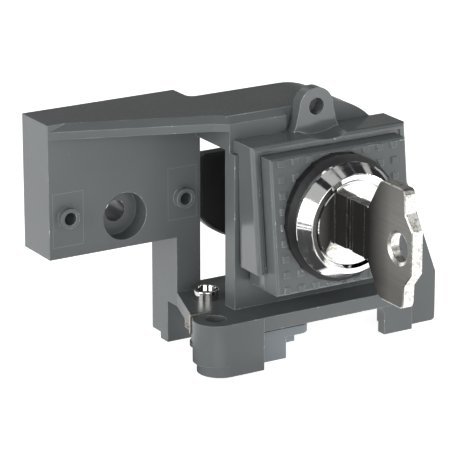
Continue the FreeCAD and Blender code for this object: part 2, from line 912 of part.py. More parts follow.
def spring_column(y, side, radius, gap):
    x = side * (wafer_half_width + spring_pocket_radius + gap)
    half = spring_length / 2 + gap
    return rod_z(x, y + wafer_thick / 2, radius, -half, half)


def wafers(side):
    """Sprung plates that the key draws in flush with the plug; every second one points up."""
    plates = []
    for count in range(wafer_count):
        if (1 if count % 2 == 0 else -1) != side:
            continue
        y = wafer_first_y + count * wafer_pitch
        plate = rod_y(0, 0, plug_radius - running_gap, y, y + wafer_thick)
        plate = plate.common(box(
            -wafer_half_width,
            wafer_half_width,
            y,
            y + wafer_thick,
            -plug_radius,
            plug_radius,
        ))
        plate = plate.fuse(wafer_ear(y, side, 0, 0))
        half = blade_thick / 2 + wafer_gap
        zs = sorted((
            side * (blade_half_height + wafer_gap),
            -side * (blade_half_height + wafer_travel + wafer_gap),
        ))
        plates.append(plate.cut(box(-half, half, y - 1, y + wafer_thick + 1, zs[0], zs[1])))
    return Part.makeCompound(plates)


def coil(x, y, bottom, length, radius, wire, turns):
    """Helical spring that stands on Z, from its first to its last wire centre."""
    helix = Part.makeHelix(length / turns, length, radius)
    start = helix.Vertexes[0].Point
    ring = Part.Wire(Part.makeCircle(wire / 2, start, Y_AXIS))
    solid = Part.Wire(helix.Edges).makePipeShell([ring], True, True)
    solid.translate(Vector(x, y, bottom))
    return solid


def wafer_springs(side):
    springs = []
    for count in range(wafer_count):
        if (1 if count % 2 == 0 else -1) != side:
            continue
        y = wafer_first_y + count * wafer_pitch + wafer_thick / 2
        x = side * (wafer_half_width + spring_pocket_radius + wafer_gap)
        length = spring_length - spring_wire - wafer_gap
        springs.append(coil(x, y, -length / 2, length, spring_radius, spring_wire, spring_turns))
    return Part.makeCompound(springs)


def plug_clip():
    """Spring clip in the plug's groove, open on one side."""
    front = barrel_back_y + seat_gap
    ring = rod_y(0, 0, clip_radius, front, front + clip_thick)
    half = clip_groove_radius * clip_mouth
    mouth = box(-half, half, front - 1, front + 2, -clip_radius - 1, 0)
    ears = rod_y(0, 0, clip_groove_radius, front - 1, front + 2)
    return ring.cut([ears, mouth])


def drive_spindle():
    """Shaft from the plug's socket to the disc, squared at both ends."""
    half = spindle_square / 2
    front = box(-half, half, tail_end_y - spindle_socket, tail_end_y, -half, half)
    middle = rod_y(0, 0, spindle_radius, tail_end_y, disc_front_y)
    back = box(-half, half, disc_front_y, disc_front_y + disc_thick - seat_gap, -half, half)
    depth = disc_front_y + disc_thick + disc_washer_thick - disc_screw_length - 1
    bore = rod_y(0, 0, disc_screw_radius, depth, disc_front_y + disc_thick)
    return joined(front, middle, back).cut(bore)


def blocking_disc():
    """Disc with flats on top and at the sides, which blocks or frees the breaker as it turns."""
    back = disc_front_y + disc_thick
    body = rod_y(0, 0, disc_radius, disc_front_y, back)
    body = body.common(box(-disc_side_x, disc_side_x, disc_front_y, back, -disc_radius, disc_flat_z))
    corners = edges_like(body, lambda point: near(point.z, disc_flat_z))
    corners = [edge for edge in corners if runs_along_y(edge)]
    body = body.makeFillet(disc_corner, corners)
    rims = edges_like(body, lambda point: near(point.y, disc_front_y) or near(point.y, back))
    body = body.makeChamfer(disc_edge, [edge for edge in rims if not runs_along_y(edge)])
    half = spindle_square / 2 + running_gap
    return body.cut(box(-half, half, disc_front_y - 1, back + 1, -half, half))


def disc_washer():
    front = disc_front_y + disc_thick
    ring = rod_y(0, 0, disc_washer_radius, front, front + disc_washer_thick)
    return ring.cut(rod_y(0, 0, disc_screw_radius + seat_gap, front - 1, front + 2))


def disc_screw():
    """Pan head screw with a cross recess."""
    under_head = disc_front_y + disc_thick + disc_washer_thick
    top = under_head + disc_screw_head_high
    head = rod_y(0, 0, disc_screw_head_radius, under_head, top)
    rim = [edge for edge in head.Edges if near(edge.BoundBox.YMin, top) and edge.BoundBox.YLength < 0.01]
    head = head.makeFillet(disc_screw_head_high * disc_screw_round, rim)
    shank = rod_y(0, 0, disc_screw_radius, under_head - disc_screw_length, under_head)
    long_half = disc_screw_head_radius * cross_half_long
    slot_half = disc_screw_head_radius * cross_half_wide
    deep = top - disc_screw_head_high * cross_deep
    return joined(head, shank).cut([
        box(-long_half, long_half, deep, top + 1, -slot_half, slot_half),
        box(-slot_half, slot_half, deep, top + 1, -long_half, long_half),
    ])


# ---------------------------------------------------------------- key
def key_bow():
    """Flat bow with cut corners and a thumb edge that stands forward, bevelled all round."""
    upper = [(shank_front_y, shank_half_height)]
    upper += [(key_hole_y + behind, up) for behind, up in bow_outline]
    lower = [(y, -z) for y, z in reversed(upper)]
    body = prism_x(upper + lower, -key_thick / 2, key_thick / 2)
    rims = [edge for edge in body.Edges if near(edge.BoundBox.XLength, 0)]
    rims = [edge for edge in rims if not all(near(spot.Y, shank_front_y) for spot in edge.Vertexes)]
    body = body.makeChamfer(key_edge, rims)
    hole = Part.makeCylinder(
        key_hole_radius, key_thick + 2, Vector(-key_thick / 2 - 1, key_hole_y, 0), X_AXIS
    )
    cuts = [hole]
    for side in (-1, 1):
        cuts.append(Part.makeCone(
            key_hole_ring_radius,
            key_hole_radius,
            key_hole_ring_deep,
            Vector(side * key_thick / 2, key_hole_y, 0),
            Vector(-side, 0, 0),
        ))
    return body.cut(cuts)


def key_shank():
    """Stepped neck between bow and blade; it stops against the plug's face."""
    stops = (shank_front_y,) + shank_steps_y + (plug_face_y - running_gap,)
    pieces = []
    for count in range(len(stops) - 1):
        half = key_thick / 2 - count * shank_step
        high = shank_half_height - count * shank_step
        pieces.append(box(-half, half, stops[count], stops[count + 1], -high, high))
    return pieces


def key_blade():
    """Double-sided blade with cuts for the wafers and a pointed tip."""
    start = plug_face_y - running_gap
    upper = [(start, blade_half_height)]
    for count in range(wafer_count):
        y = wafer_first_y + count * wafer_pitch + wafer_thick / 2
        deep = blade_cut if count % 3 == 0 else blade_cut * blade_shallow_cut
        upper.append((y - blade_cut_half_mouth, blade_half_height))
        upper.append((y - blade_cut_half_floor, blade_half_height - deep))
        upper.append((y + blade_cut_half_floor, blade_half_height - deep))
        upper.append((y + blade_cut_half_mouth, blade_half_height))
    upper.append((blade_tip_y - blade_point_length, blade_half_height))
    upper.append((blade_tip_y, blade_point_half))
    lower = [(y, -z) for y, z in reversed(upper)]
    return prism_x(upper + lower, -blade_thick / 2, blade_thick / 2)


def key():
    return joined(key_bow(), *key_shank(), key_blade())


# ---------------------------------------------------------------- rivet, spring and latch lever
def pivot_rivet():
    """Cup-headed rivet through the floor that carries the latch lever."""
    top = floor_top + rivet_head_high
    head = rod_z(rivet_x, rivet_y, rivet_head_radius, floor_top, top)
    rim = [edge for edge in head.Edges if near(edge.BoundBox.ZMin, top) and edge.BoundBox.ZLength < 0.01]
    head = head.makeFillet(rivet_rim_round, rim)
    shank = rod_z(rivet_x, rivet_y, rivet_radius, rivet_end, floor_top)
    cup = rod_z(rivet_x, rivet_y, rivet_cup_radius, top - rivet_cup_deep, top + 1)
    return joined(head, shank).cut(cup)


def rivet_clip():
    """Push-on washer that keeps the lever on the rivet."""
    top = lever_hub_bottom - seat_gap
    ring = rod_z(rivet_x, rivet_y, lever_hub_radius + rivet_clip_wider, top - clip_thick, top)
    return ring.cut(rod_z(rivet_x, rivet_y, rivet_radius, top - clip_thick - 1, top + 1))


def latch_lever():
    """Cranked lever: hub on the rivet, low arm, and a plate with two tabs at the front."""
    hub_top = floor_under - seat_gap
    hub = rod_z(rivet_x, rivet_y, lever_hub_radius, lever_hub_bottom, hub_top)
    arm_top = lever_hub_bottom + lever_arm_thick
    tip_x = lever_left + lever_tab_width + lever_elbow_right
    tip_y = lever_front_y + lever_depth + lever_elbow_back
    run = Vector(tip_x - rivet_x, tip_y - rivet_y, 0)
    across = Vector(-run.y, run.x, 0).normalize() * lever_arm_half
    arm = prism_z(
        [
            (rivet_x + across.x, rivet_y + across.y),
            (tip_x + across.x, tip_y + across.y),
            (tip_x - across.x, tip_y - across.y),
            (rivet_x - across.x, rivet_y - across.y),
        ],
        lever_hub_bottom,
        arm_top,
    )
    elbow = rod_z(tip_x, tip_y, lever_arm_half, lever_hub_bottom, arm_top)
    back = lever_front_y + lever_depth
    plate = box(
        lever_left,
        lever_right - lever_depth / 2,
        lever_front_y,
        back,
        lever_plate_top - lever_arm_thick,
        lever_plate_top,
    )
    plate_end = rod_z(
        lever_right - lever_depth / 2,
        lever_front_y + lever_depth / 2,
        lever_depth / 2,
        lever_plate_top - lever_arm_thick,
        lever_plate_top,
    )
    tab_left = lever_left + lever_tab_in
    tab = box(tab_left, tab_left + lever_tab_width, lever_front_y, back, lever_tab_bottom, lever_plate_top)
    small_tab = box(
        tab_left + lever_tab_width,
        tab_left + lever_tab_width + lever_small_tab_width,
        lever_front_y + lever_small_tab_back,
        back,
        lever_small_tab_bottom,
        lever_plate_top,
    )
    peg = rod_z(peg_x, peg_y, peg_radius, arm_top - overlap, arm_top + peg_high)
    body = joined(hub, arm, elbow, plate, plate_end, tab, small_tab, peg)
    return body.cut(rod_z(
        rivet_x,
        rivet_y,
        rivet_radius + running_gap,
        lever_hub_bottom - 1,
        hub_top + 1,
    ))


def bent_wire(points, radius):
    """Round wire along straight runs between points, with a ball at each bend."""
    pieces = [Part.makeSphere(radius, spot) for spot in points[1:-1]]
    for start, end in zip(points, points[1:]):
        pieces.append(Part.makeCylinder(radius, (end - start).Length, start, end - start))
    return pieces[0].multiFuse(pieces[1:])


def torsion_spring():
    """Coil round the lever's hub, one leg hooked over the floor's edge, one on the lever's peg."""
    left = rivet_x - coil_radius
    right = rivet_x + coil_radius
    length = coil_pitch * (coil_turns + 0.5)
    bottom = coil_top_z - length
    wire = coil_wire / 2
    winding = coil(rivet_x, rivet_y, bottom, length, coil_radius, coil_wire, coil_turns + 0.5)
    lower_leg = Part.makeCylinder(wire, rivet_y - peg_y + 1, Vector(right, rivet_y, bottom), -Y_AXIS)
    hook_top = floor_top + wire + seat_gap
    below = Vector(hook_x, hook_y, coil_top_z)
    above = Vector(hook_x, hook_y, hook_top)
    hook = bent_wire(
        [
            Vector(left, rivet_y, coil_top_z),
            below,
            above,
            above + X_AXIS * hook_length,
        ],
        wire,
    )
    return Part.makeCompound([winding, lower_leg, hook])


# ---------------------------------------------------------------- every piece is written out
write("frame_body", frame_body())
write("lock_block", lock_block())
write("face_plate", face_plate())
write("lock_gasket", lock_gasket())
write("lock_barrel", lock_barrel())
write("lock_washer", lock_washer())
write("lock_nut", lock_nut())
write("plug", plug())
write("upper_wafers", wafers(1))
write("lower_wafers", wafers(-1))
write("upper_wafer_springs", wafer_springs(1))
write("lower_wafer_springs", wafer_springs(-1))
write("plug_clip", plug_clip())
write("drive_spindle", drive_spindle())
write("blocking_disc", blocking_disc())
write("disc_washer", disc_washer())
write("disc_screw", disc_screw())
write("key", key())
write("pivot_rivet", pivot_rivet())
write("rivet_clip", rivet_clip())
write("latch_lever", latch_lever())
write("torsion_spring", torsion_spring())
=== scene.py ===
"""Key lock adaptor for a circuit breaker: finishes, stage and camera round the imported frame."""

import json
import math

import bpy
from bpy.props import FloatProperty, FloatVectorProperty, PointerProperty
from bpy.types import Operator, Panel, PropertyGroup
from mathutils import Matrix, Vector


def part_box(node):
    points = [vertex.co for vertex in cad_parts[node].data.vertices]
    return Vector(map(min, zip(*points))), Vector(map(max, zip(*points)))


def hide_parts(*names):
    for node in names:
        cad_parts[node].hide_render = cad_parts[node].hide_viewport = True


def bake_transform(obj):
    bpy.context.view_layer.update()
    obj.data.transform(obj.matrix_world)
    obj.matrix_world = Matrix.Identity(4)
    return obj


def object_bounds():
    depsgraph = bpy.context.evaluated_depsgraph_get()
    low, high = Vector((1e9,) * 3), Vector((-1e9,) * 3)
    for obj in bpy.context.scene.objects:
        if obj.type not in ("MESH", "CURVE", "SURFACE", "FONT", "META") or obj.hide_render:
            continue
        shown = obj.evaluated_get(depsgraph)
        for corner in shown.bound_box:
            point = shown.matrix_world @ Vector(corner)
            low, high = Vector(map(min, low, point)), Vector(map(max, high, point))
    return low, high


bl_info = {
    "name": "Key lock adaptor",
    "version": (1, 0, 0),
    "blender": (4, 5, 0),
    "location": "3D View > Sidebar > Key lock",
    "description": "Finishes and stage for a key lock adaptor",
    "category": "Object",
}

MM = 0.001
# How far behind the bow's front edge the key's flat sides start and finish darkening with a painted dark
# reflection.
SHANK_PAINTED_REFLECTION_FROM = 7 * MM
SHANK_PAINTED_REFLECTION_TO = 14 * MM
FLOOR_HALF_SIZE = 3.0

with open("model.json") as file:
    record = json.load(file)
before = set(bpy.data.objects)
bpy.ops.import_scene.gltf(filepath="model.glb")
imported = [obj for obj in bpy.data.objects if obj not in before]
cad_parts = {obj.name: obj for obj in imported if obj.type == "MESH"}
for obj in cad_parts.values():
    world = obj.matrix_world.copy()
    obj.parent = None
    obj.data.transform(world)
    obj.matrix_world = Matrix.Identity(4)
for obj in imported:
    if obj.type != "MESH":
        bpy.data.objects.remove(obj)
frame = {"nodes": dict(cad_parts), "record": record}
CAD_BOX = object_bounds()


def joint(name):
    """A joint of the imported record, by name."""
    return next(entry for entry in frame["record"]["behaviour"]["joints"] if entry["name"] == name)


LOCK = Vector(joint("plug_turn")["pos_m"])


# ---------------------------------------------------------------- settings
def colour_property(name, description, default):
    return FloatVectorProperty(
        name=name, description=description, subtype="COLOR", size=3, min=0.0, max=1.0, default=default
    )


class KeyLockColours(PropertyGroup):
    plastic: colour_property("Frame plastic", "Moulded frame and lock block", (0.088, 0.096, 0.098))
    lever: colour_property("Lever plastic", "Latch lever under the floor", (0.135, 0.155, 0.165))
    disc: colour_property("Disc plastic", "Blocking disc at the back", (0.018, 0.018, 0.019))
    rubber: colour_property("Rubber", "Gasket under the lock's head", (0.009, 0.009, 0.010))
    chrome: colour_property("Chrome", "Lock head and plug", (0.86, 0.86, 0.86))
    key: colour_property("Key", "Nickel silver of the key", (0.50, 0.48, 0.45))
    zinc: colour_property("Zinc", "Nut, washers, clips and screw", (0.55, 0.56, 0.57))
    brass: colour_property("Brass", "Wafers inside the plug", (0.66, 0.50, 0.24))


class KeyLockSizes(PropertyGroup):
    grain: FloatProperty(
        name="Plastic grain", description="Spacing of the moulded grain", default=0.35 * MM,
        min=0.05 * MM, max=2 * MM, unit="LENGTH",
    )
    # The pale line along the plastic's edges is partly edge wear and partly a painted highlight.
    edge: FloatProperty(
        name="Edge wear", description="Width of the pale worn line along the plastic's edges",
        default=0.22 * MM, min=0.02 * MM, max=1 * MM, unit="LENGTH",
    )


class KeyLockStage(PropertyGroup):
    azimuth: FloatProperty(
        name="Azimuth", description="Camera's place round the object", default=math.radians(-31),
        subtype="ANGLE",
    )
    elevation: FloatProperty(
        name="Elevation", description="Camera's height above the horizon", default=math.radians(18),
        subtype="ANGLE",
    )
    distance: FloatProperty(
        name="Distance", description="Camera to the object's middle", default=0.548, unit="LENGTH",
    )
    lens: FloatProperty(name="Lens", description="Focal length", default=229.5, subtype="DISTANCE_CAMERA")
    floor_glow: FloatProperty(
        name="Floor glow", description="How brightly the floor is lit from below", default=0.85, min=0,
    )


# ---------------------------------------------------------------- node helpers
def add_node(tree, kind, x=0, y=0, **values):
    """A node with its plain attributes set; sockets are set by number through "inputs"."""
    node = tree.nodes.new(kind)
    node.location = (x, y)
    inputs = values.pop("inputs", {})
    for name, value in values.items():
        setattr(node, name, value)
    for key, value in inputs.items():
        node.inputs[key].default_value = value
    return node


def new_group(name, inputs, outputs):
    """Shader node group with named sockets; each input is (name, socket type, default)."""
    tree = bpy.data.node_groups.new(name, "ShaderNodeTree")
    for label, kind, default in inputs:
        socket = tree.interface.new_socket(name=label, in_out="INPUT", socket_type=kind)
        socket.default_value = default
    for label, kind in outputs:
        tree.interface.new_socket(name=label, in_out="OUTPUT", socket_type=kind)
    entry = add_node(tree, "NodeGroupInput", -900, 0)
    leave = add_node(tree, "NodeGroupOutput", 700, 0)
    return tree, entry, leave


def maths(tree, operation, first, second=None, clamp=False, x=0, y=0):
    """Math node whose two inputs are sockets or numbers."""
    node = add_node(tree, "ShaderNodeMath", x, y, operation=operation, use_clamp=clamp)
    for slot, value in enumerate((first, second)):
        if value is None:
            continue
        if isinstance(value, (int, float)):
            node.inputs[slot].default_value = value
        else:
            tree.links.new(value, node.inputs[slot])
    return node.outputs[0]


def mix_colours(tree, factor, first, second, blend="MIX", x=0, y=0):
    """Mix node for colours; each argument is a socket or a value."""
    node = add_node(tree, "ShaderNodeMix", x, y, data_type="RGBA", blend_type=blend)
    # The colour pair of a Mix node is its sockets 6 and 7, and its colour output is socket 2.
    for number, value in ((0, factor), (6, first), (7, second)):
        socket = node.inputs[number]
        if hasattr(value, "links"):
            tree.links.new(value, socket)
        elif isinstance(value, (int, float)):
            socket.default_value = value
        else:
            socket.default_value = (*value, 1.0)
    return node.outputs[2]


def map_range(tree, value, low, high, to_low=0.0, to_high=1.0, x=0, y=0):
    node = add_node(tree, "ShaderNodeMapRange", x, y, clamp=True)
    tree.links.new(value, node.inputs["Value"])
    node.inputs["From Min"].default_value = low
    node.inputs["From Max"].default_value = high
    node.inputs["To Min"].default_value = to_low
    node.inputs["To Max"].default_value = to_high
    return node.outputs["Result"]


def noise(tree, vector, scale, detail=3.0, roughness=0.55, x=0, y=0):
    node = add_node(tree, "ShaderNodeTexNoise", x, y)
    tree.links.new(vector, node.inputs["Vector"])
    node.inputs["Scale"].default_value = scale
    node.inputs["Detail"].default_value = detail
    node.inputs["Roughness"].default_value = roughness
    return node.outputs["Fac"]


# ---------------------------------------------------------------- shared effects
def edge_wear_and_sheen_group():
    """Mask that is bright along convex edges, broken up so that it comes and goes: partly edge wear, partly
    painted highlight.
    """
    tree, entry, leave = new_group(
        "Edge wear",
        [("Width", "NodeSocketFloat", 0.2 * MM), ("Breaks", "NodeSocketFloat", 260.0)],
        [("Mask", "NodeSocketFloat"), ("Nicks", "NodeSocketFloat"), ("Round", "NodeSocketVector")],
    )
    bevel = add_node(tree, "ShaderNodeBevel", -600, 200, samples=6)
    tree.links.new(entry.outputs["Width"], bevel.inputs["Radius"])
    geometry = add_node(tree, "ShaderNodeNewGeometry", -600, 0)
    dot = add_node(tree, "ShaderNodeVectorMath", -400, 100, operation="DOT_PRODUCT")
    tree.links.new(bevel.outputs["Normal"], dot.inputs[0])
    tree.links.new(geometry.outputs["Normal"], dot.inputs[1])
    edge = map_range(tree, dot.outputs["Value"], 0.985, 0.93, x=-200, y=100)
    where = add_node(tree, "ShaderNodeTexCoord", -600, -200)
    patch = noise(tree, where.outputs["Object"], 1.0, 2.0, x=-200, y=-200)
    tree.links.new(entry.outputs["Breaks"], patch.node.inputs["Scale"])
    broken = map_range(tree, patch, 0.42, 0.60, 0.35, 1.0, x=0, y=-200)
    tree.links.new(maths(tree, "MULTIPLY", edge, broken, True, 300, 0), leave.inputs["Mask"])
    chips = noise(tree, where.outputs["Object"], 1400.0, 2.0, x=-200, y=-400)
    chips = map_range(tree, chips, 0.60, 0.66, x=0, y=-400)
    chips = maths(tree, "MULTIPLY", chips, map_range(tree, patch, 0.55, 0.62, x=0, y=-550), x=200, y=-400)
    near_edge = map_range(tree, dot.outputs["Value"], 0.998, 0.97, x=-200, y=300)
    tree.links.new(maths(tree, "MULTIPLY", near_edge, chips, True, 400, -300), leave.inputs["Nicks"])
    tree.links.new(bevel.outputs["Normal"], leave.inputs["Round"])
    return tree


def mould_grain_group():
    """Fine height and slow tone of a moulded surface."""
    tree, entry, leave = new_group(
        "Mould grain",
        [("Grain", "NodeSocketFloat", 2800.0), ("Clouds", "NodeSocketFloat", 70.0)],
        [("Height", "NodeSocketFloat"), ("Tone", "NodeSocketFloat"), ("Specks", "NodeSocketFloat")],
    )
    where = add_node(tree, "ShaderNodeTexCoord", -700, 0)
    fine = noise(tree, where.outputs["Object"], 1.0, 4.0, 0.6, -400, 200)
    tree.links.new(entry.outputs["Grain"], fine.node.inputs["Scale"])
    slow = noise(tree, where.outputs["Object"], 1.0, 3.0, 0.5, -400, -100)
    tree.links.new(entry.outputs["Clouds"], slow.node.inputs["Scale"])
    specks = noise(tree, where.outputs["Object"], 900.0, 2.0, 0.5, -400, -350)
    tree.links.new(fine, leave.inputs["Height"])
    tree.links.new(map_range(tree, slow, 0.3, 0.7, x=-100, y=-100), leave.inputs["Tone"])
    tree.links.new(map_range(tree, specks, 0.70, 0.78, x=-100, y=-350), leave.inputs["Specks"])
    return tree


def scratches_group():
    """Thin straight scratches in two directions, with their mask and height."""
    tree, entry, leave = new_group(
        "Scratches",
        [("Density", "NodeSocketFloat", 260.0)],
        [("Mask", "NodeSocketFloat"), ("Streaks", "NodeSocketFloat")],
    )
    where = add_node(tree, "ShaderNodeTexCoord", -900, -200)
    masks = []
    for turn, stretch in ((0.5, (0.05, 1.0, 1.4)), (-0.9, (0.05, 1.3, 0.12))):
        mapping = add_node(tree, "ShaderNodeMapping", -700, 200 * len(masks))
        mapping.inputs["Rotation"].default_value = (turn, 0.3 * turn, turn)
        mapping.inputs["Scale"].default_value = stretch
        tree.links.new(where.outputs["Object"], mapping.inputs["Vector"])
        lines = noise(tree, mapping.outputs["Vector"], 1.0, 2.0, 0.6, -500, 200 * len(masks))
        tree.links.new(entry.outputs["Density"], lines.node.inputs["Scale"])
        masks.append(map_range(tree, lines, 0.62, 0.70, x=-300, y=200 * len(masks)))
    tree.links.new(maths(tree, "MAXIMUM", masks[0], masks[1], x=0, y=0), leave.inputs["Mask"])
    mapping = add_node(tree, "ShaderNodeMapping", -700, -400)
    mapping.inputs["Scale"].default_value = (1.0, 0.06, 1.0)
    tree.links.new(where.outputs["Object"], mapping.inputs["Vector"])
    streaks = noise(tree, mapping.outputs["Vector"], 2200.0, 2.0, 0.5, -500, -400)
    tree.links.new(streaks, leave.inputs["Streaks"])
    return tree


def witness_group():
    """Thin outline of a rectangle on the face of the arm, left by an insert of the mould."""
    tree, entry, leave = new_group(
        "Witness line",
        [(name, "NodeSocketFloat", 0.0) for name in ("X", "Y", "Z", "Half width", "Half height", "Line")],
        [("Mask", "NodeSocketFloat")],
    )
    where = add_node(tree, "ShaderNodeTexCoord", -1100, 0)
    split = add_node(tree, "ShaderNodeSeparateXYZ", -900, 0)
    tree.links.new(where.outputs["Object"], split.inputs["Vector"])

    def outside(axis, half, y):
        away = maths(tree, "SUBTRACT", split.outputs[axis], entry.outputs[axis], x=-700, y=y)
        away = maths(tree, "ABSOLUTE", away, x=-500, y=y)
        return maths(tree, "SUBTRACT", away, entry.outputs[half], x=-300, y=y)

    wide = outside("X", "Half width", 200)
    high = outside("Z", "Half height", 0)
    beyond = maths(tree, "MAXIMUM", wide, high, x=-100, y=100)
    beyond = maths(tree, "ABSOLUTE", beyond, x=50, y=100)
    on_line = maths(tree, "LESS_THAN", beyond, entry.outputs["Line"], x=200, y=100)
    depth = maths(tree, "SUBTRACT", split.outputs["Y"], entry.outputs["Y"], x=-300, y=-200)
    depth = maths(tree, "ABSOLUTE", depth, x=-100, y=-200)
    on_face = maths(tree, "LESS_THAN", depth, 0.1 * MM, x=50, y=-200)
    tree.links.new(maths(tree, "MULTIPLY", on_line, on_face, x=400), leave.inputs["Mask"])
    return tree


GROUP_MAKERS = {
    "Witness line": witness_group,
    "Edge wear": edge_wear_and_sheen_group,
    "Mould grain": mould_grain_group,
    "Scratches": scratches_group,
}


def use_group(tree, name, x=0, y=0, **inputs):
    """Places a shared effect, which is built the first time that it is asked for."""
    made = bpy.data.node_groups.get(name) or GROUP_MAKERS[name]()
    node = add_node(tree, "ShaderNodeGroup", x, y, node_tree=made)
    for label, value in inputs.items():
        node.inputs[label].default_value = value
    return node


def new_material(name, base, roughness, metallic=0.0, specular=0.5):
    """Material with one Principled shader; returns the material, its tree and the shader."""
    material = bpy.data.materials.new(name)
    material.use_nodes = True
    material.diffuse_color = (*base, 1.0)
    tree = material.node_tree
    shader = tree.nodes["Principled BSDF"]
    shader.inputs["Base Color"].default_value = (*base, 1.0)
    shader.inputs["Roughness"].default_value = roughness
    shader.inputs["Metallic"].default_value = metallic
    shader.inputs["Specular IOR Level"].default_value = specular
    return material, tree, shader


def bump(tree, shader, height, strength, distance, normal=None):
    node = add_node(tree, "ShaderNodeBump", -200, -400)
    if normal:
        tree.links.new(normal, node.inputs["Normal"])
    node.inputs["Strength"].default_value = strength
    node.inputs["Distance"].default_value = distance
    tree.links.new(height, node.inputs["Height"])
    tree.links.new(node.outputs["Normal"], shader.inputs["Normal"])


def scaled(colour, factor):
    return tuple(min(1.0, channel * factor) for channel in colour)


# ---------------------------------------------------------------- finishes
# Middle (x, z) and half sizes of the insert lines on the arm's face, from the lock's axis.
WITNESS_LINES = (((-45.0, 0.3), (3.2, 5.2)), ((-20.4, 1.6), (3.1, 5.15)))
ARM_FACE_BACK = 10.2 * MM


def moulded_plastic(name, colour, grain, edge, roughness=0.5, wear_and_sheen=2.9, specular=0.5, relief=0.35, lines=()):
    """Semi-matt moulded plastic with fine grain, slow tone and pale broken edges, partly edge wear and partly
    painted highlight.
    """
    material, tree, shader = new_material(name, colour, roughness, specular=specular)
    surface = use_group(tree, "Mould grain", -900, 100, Grain=1.0 / grain, Clouds=55.0)
    worn_and_lit = use_group(tree, "Edge wear", -900, -200, Width=edge, Breaks=240.0)
    dark, light = scaled(colour, 0.93), scaled(colour, 1.07)
    tone = mix_colours(tree, surface.outputs["Tone"], dark, light, x=-600, y=200)
    dusty = mix_colours(tree, maths(tree, "MULTIPLY", surface.outputs["Specks"], 0.25), tone,
                        scaled(colour, 1.8), x=-400, y=200)
    # Edge wear and painted highlight: the edges are lightened in the base colour.
    lined = mix_colours(tree, worn_and_lit.outputs["Mask"], dusty, scaled(colour, wear_and_sheen), x=-200, y=200)
    for (x, z), (half_width, half_height) in lines:
        outline = use_group(tree, "Witness line", -600, 500, **{
            "X": LOCK.x + x * MM, "Y": -ARM_FACE_BACK, "Z": LOCK.z + z * MM,
            "Half width": half_width * MM, "Half height": half_height * MM, "Line": 0.07 * MM,
        })
        lined = mix_colours(tree, maths(tree, "MULTIPLY", outline.outputs["Mask"], 0.28), lined,
                            scaled(colour, wear_and_sheen), x=-100, y=400)
    final = mix_colours(tree, worn_and_lit.outputs["Nicks"], lined, scaled(colour, 2.5 * wear_and_sheen), x=0, y=200)
    tree.links.new(final, shader.inputs["Base Color"])
    rough = map_range(tree, surface.outputs["Height"], 0.3, 0.7, roughness - 0.06, roughness + 0.08, x=-400)
    tree.links.new(rough, shader.inputs["Roughness"])
    bump(tree, shader, surface.outputs["Height"], relief, 0.02 * MM, worn_and_lit.outputs["Round"])
    return material


def polished_chrome(name, colour):
    """Mirror plating with faint haze and hairline scratches."""
    material, tree, shader = new_material(name, colour, 0.05, metallic=1.0)
    marks = use_group(tree, "Scratches", -700, 0, Density=300.0)
    where = add_node(tree, "ShaderNodeTexCoord", -900, -300)
    haze = noise(tree, where.outputs["Object"], 160.0, 3.0, x=-700, y=-300)
    rough = map_range(tree, haze, 0.35, 0.7, 0.03, 0.09, x=-400, y=-300)
    scratched = maths(tree, "MULTIPLY", marks.outputs["Mask"], 0.10, x=-400, y=0)
    tree.links.new(maths(tree, "ADD", rough, scratched, x=-200), shader.inputs["Roughness"])
    bump(tree, shader, haze, 0.06, 0.01 * MM)
    return material


def stamped_key(colour, low_y, high_y):
    """Nickel silver: satin sides that darken from low_y to high_y with a painted dark reflection, and bright
    scratched cut edges.
    """
    material, tree, shader = new_material("Stamped nickel silver", colour, 0.35, metallic=1.0)
    marks = use_group(tree, "Scratches", -900, 0, Density=420.0)
    where = add_node(tree, "ShaderNodeTexCoord", -1100, -200)
    split = add_node(tree, "ShaderNodeSeparateXYZ", -900, -250)
    tree.links.new(where.outputs["Normal"], split.inputs["Vector"])
    side = maths(tree, "ABSOLUTE", split.outputs["X"], x=-750, y=-250)
    side = map_range(tree, side, 0.80, 0.97, x=-600, y=-250)
    dark, light = scaled(colour, 0.46), scaled(colour, 0.66)
    flat = mix_colours(tree, marks.outputs["Streaks"], dark, light, x=-500, y=250)
    clouds = noise(tree, where.outputs["Object"], 1500.0, 3.0, x=-900, y=-500)
    marbled = map_range(tree, clouds, 0.50, 0.62, x=-700, y=-500)
    bright = mix_colours(tree, maths(tree, "MAXIMUM", marks.outputs["Mask"], marbled, x=-600, y=-500),
                         (0.90, 0.89, 0.85), (0.50, 0.49, 0.44), x=-500, y=50)
    # Painted reflection: the flat sides darken toward the lock in the base colour, standing in for the shank's
    # dark reflection.
    place = add_node(tree, "ShaderNodeSeparateXYZ", -900, 450)
    tree.links.new(where.outputs["Object"], place.inputs["Vector"])
    painted_reflection_toward_lock = map_range(tree, place.outputs["Y"], low_y, high_y, x=-700, y=450)
    flat = mix_colours(tree, painted_reflection_toward_lock, flat, scaled(colour, 0.06), x=-380, y=350)
    worn_and_lit = use_group(tree, "Edge wear", -900, 700, Width=0.12 * MM, Breaks=500.0)
    shade = mix_colours(tree, side, bright, flat, x=-250, y=200)
    # Edge wear and painted highlight: the key's edges are lightened in the base colour.
    shade = mix_colours(tree, worn_and_lit.outputs["Mask"], shade, (0.80, 0.78, 0.72), x=-100, y=200)
    tree.links.new(shade, shader.inputs["Base Color"])
    rough = map_range(tree, side, 0.0, 1.0, 0.22, 0.36, x=-350, y=-100)
    tree.links.new(
        maths(tree, "ADD", rough, maths(tree, "MULTIPLY", marks.outputs["Streaks"], 0.12), x=-150),
        shader.inputs["Roughness"],
    )
    height = maths(tree, "ADD", marks.outputs["Mask"], marks.outputs["Streaks"], x=-350, y=-400)
    bump(tree, shader, height, 0.22, 0.02 * MM)
    return material


